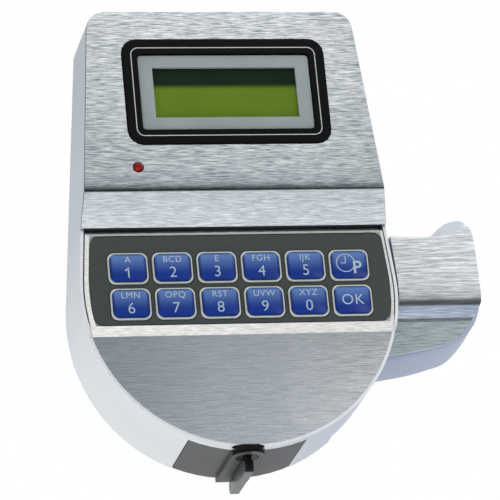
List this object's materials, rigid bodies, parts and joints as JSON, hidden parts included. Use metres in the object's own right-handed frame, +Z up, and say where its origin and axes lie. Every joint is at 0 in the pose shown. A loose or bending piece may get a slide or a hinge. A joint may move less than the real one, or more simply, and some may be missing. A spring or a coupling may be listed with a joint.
{
  "type": "electronic safe lock entry unit",
  "caption": "Door-mounted entry unit of a safe lock: tilted display, push-key keypad, swing lever on a square spindle, and an override key lock in the round bottom wall.",
  "frame": {"origin": "on the back face of the base plate, where it lies on the door, at about half the housing's height and above the spindle's axis", "axes": "+X towards the lever, +Y into the door, +Z up"},
  "size_m": [0.1354, 0.0634, 0.156],
  "materials": {
    "brushed_steel": "brushed from side to side",
    "satin_silver": "satin, cool silver grey",
    "plated_steel": "zinc plated",
    "brass": "turned",
    "black_gloss": "gloss black",
    "clear_lens": "clear",
    "grey_mask": "matt light grey",
    "lcd_green": "yellow-green display cell",
    "board_green": "circuit board",
    "panel_grey": "dark grey film",
    "key_blue": "blue with silver legends",
    "rubber_grey": "silicone rubber",
    "insert_grey": "dark grey",
    "lamp_red": "tinted",
    "black_plastic": "moulded",
    "battery_case": "printed metal case"
  },
  "bodies": {
    "housing": {"side_shell": "satin_silver", "display_hood": "brushed_steel", "lower_cover": "brushed_steel", "display_bezel": "black_gloss", "display_lens": "clear_lens", "lcd_mask": "grey_mask", "lcd_glass": "lcd_green", "lcd_board": "board_green", "pin_header": "black_plastic", "main_board": "board_green", "sounder": "black_plastic", "status_led": "lamp_red", "keypad_panel": "panel_grey", "switch_mat": "rubber_grey", "keypad_board": "board_green", "keypad_cable": "grey_mask", "standoff_1": "plated_steel", "standoff_2": "plated_steel", "standoff_3": "plated_steel", "standoff_4": "plated_steel", "board_screw_1": "plated_steel", "board_screw_2": "plated_steel", "board_screw_3": "plated_steel", "board_screw_4": "plated_steel", "base_plate": "plated_steel", "battery": "battery_case", "battery_clip": "black_plastic", "battery_tray": "black_plastic", "spindle_bush": "brass", "friction_washer": "brass", "bottom_cover": "insert_grey", "key_escutcheon": "insert_grey", "cylinder_body": "plated_steel", "cylinder_clip": "plated_steel"},
    "lever": {"lever_body": "satin_silver", "lever_skin": "brushed_steel", "lever_screw_1": "plated_steel", "lever_screw_2": "plated_steel", "hub_arm": "plated_steel", "spindle": "plated_steel", "retaining_ring": "plated_steel"},
    "key_plug": {"lock_plug": "brass", "lock_cam": "plated_steel", "cam_screw": "plated_steel"},
    "override_key": {"lock_key": "plated_steel"},
    "button_1": {"key_1": "key_blue"},
    "button_2": {"key_2": "key_blue"},
    "button_3": {"key_3": "key_blue"},
    "button_4": {"key_4": "key_blue"},
    "button_5": {"key_5": "key_blue"},
    "button_6": {"key_6": "key_blue"},
    "button_7": {"key_7": "key_blue"},
    "button_8": {"key_8": "key_blue"},
    "button_9": {"key_9": "key_blue"},
    "button_0": {"key_0": "key_blue"},
    "button_clock": {"key_clock": "key_blue"},
    "button_ok": {"key_ok": "key_blue"}
  },
  "joints": [
    {"name": "lever_turn", "type": "hinge", "parent": "housing", "child": "lever", "pos_m": [0, 0, -0.02125], "axis": [0, 1, 0], "range_deg": [0, 40]},
    {"name": "plug_turn", "type": "hinge", "parent": "housing", "child": "key_plug", "pos_m": [-0.001, -0.02628, -0.06869], "axis": [0, 0.108, 0.9942], "range_deg": [0, 90]},
    {"name": "key_pull", "type": "slide", "parent": "key_plug", "child": "override_key", "axis": [0, -0.108, -0.9942], "range_m": [0, 0.0145]},
    {"name": "key_1_press", "type": "slide", "parent": "housing", "child": "button_1", "axis": [0, 0.9942, -0.108], "range_m": [0, 0.0005], "stiffness_N_per_m": 800, "springref_m": -0.0005},
    {"name": "key_2_press", "type": "slide", "parent": "housing", "child": "button_2", "axis": [0, 0.9942, -0.108], "range_m": [0, 0.0005], "stiffness_N_per_m": 800, "springref_m": -0.0005},
    {"name": "key_3_press", "type": "slide", "parent": "housing", "child": "button_3", "axis": [0, 0.9942, -0.108], "range_m": [0, 0.0005], "stiffness_N_per_m": 800, "springref_m": -0.0005},
    {"name": "key_4_press", "type": "slide", "parent": "housing", "child": "button_4", "axis": [0, 0.9942, -0.108], "range_m": [0, 0.0005], "stiffness_N_per_m": 800, "springref_m": -0.0005},
    {"name": "key_5_press", "type": "slide", "parent": "housing", "child": "button_5", "axis": [0, 0.9942, -0.108], "range_m": [0, 0.0005], "stiffness_N_per_m": 800, "springref_m": -0.0005},
    {"name": "key_6_press", "type": "slide", "parent": "housing", "child": "button_6", "axis": [0, 0.9942, -0.108], "range_m": [0, 0.0005], "stiffness_N_per_m": 800, "springref_m": -0.0005},
    {"name": "key_7_press", "type": "slide", "parent": "housing", "child": "button_7", "axis": [0, 0.9942, -0.108], "range_m": [0, 0.0005], "stiffness_N_per_m": 800, "springref_m": -0.0005},
    {"name": "key_8_press", "type": "slide", "parent": "housing", "child": "button_8", "axis": [0, 0.9942, -0.108], "range_m": [0, 0.0005], "stiffness_N_per_m": 800, "springref_m": -0.0005},
    {"name": "key_9_press", "type": "slide", "parent": "housing", "child": "button_9", "axis": [0, 0.9942, -0.108], "range_m": [0, 0.0005], "stiffness_N_per_m": 800, "springref_m": -0.0005},
    {"name": "key_0_press", "type": "slide", "parent": "housing", "child": "button_0", "axis": [0, 0.9942, -0.108], "range_m": [0, 0.0005], "stiffness_N_per_m": 800, "springref_m": -0.0005},
    {"name": "key_clock_press", "type": "slide", "parent": "housing", "child": "button_clock", "axis": [0, 0.9942, -0.108], "range_m": [0, 0.0005], "stiffness_N_per_m": 800, "springref_m": -0.0005},
    {"name": "key_ok_press", "type": "slide", "parent": "housing", "child": "button_ok", "axis": [0, 0.9942, -0.108], "range_m": [0, 0.0005], "stiffness_N_per_m": 800, "springref_m": -0.0005}
  ]
}
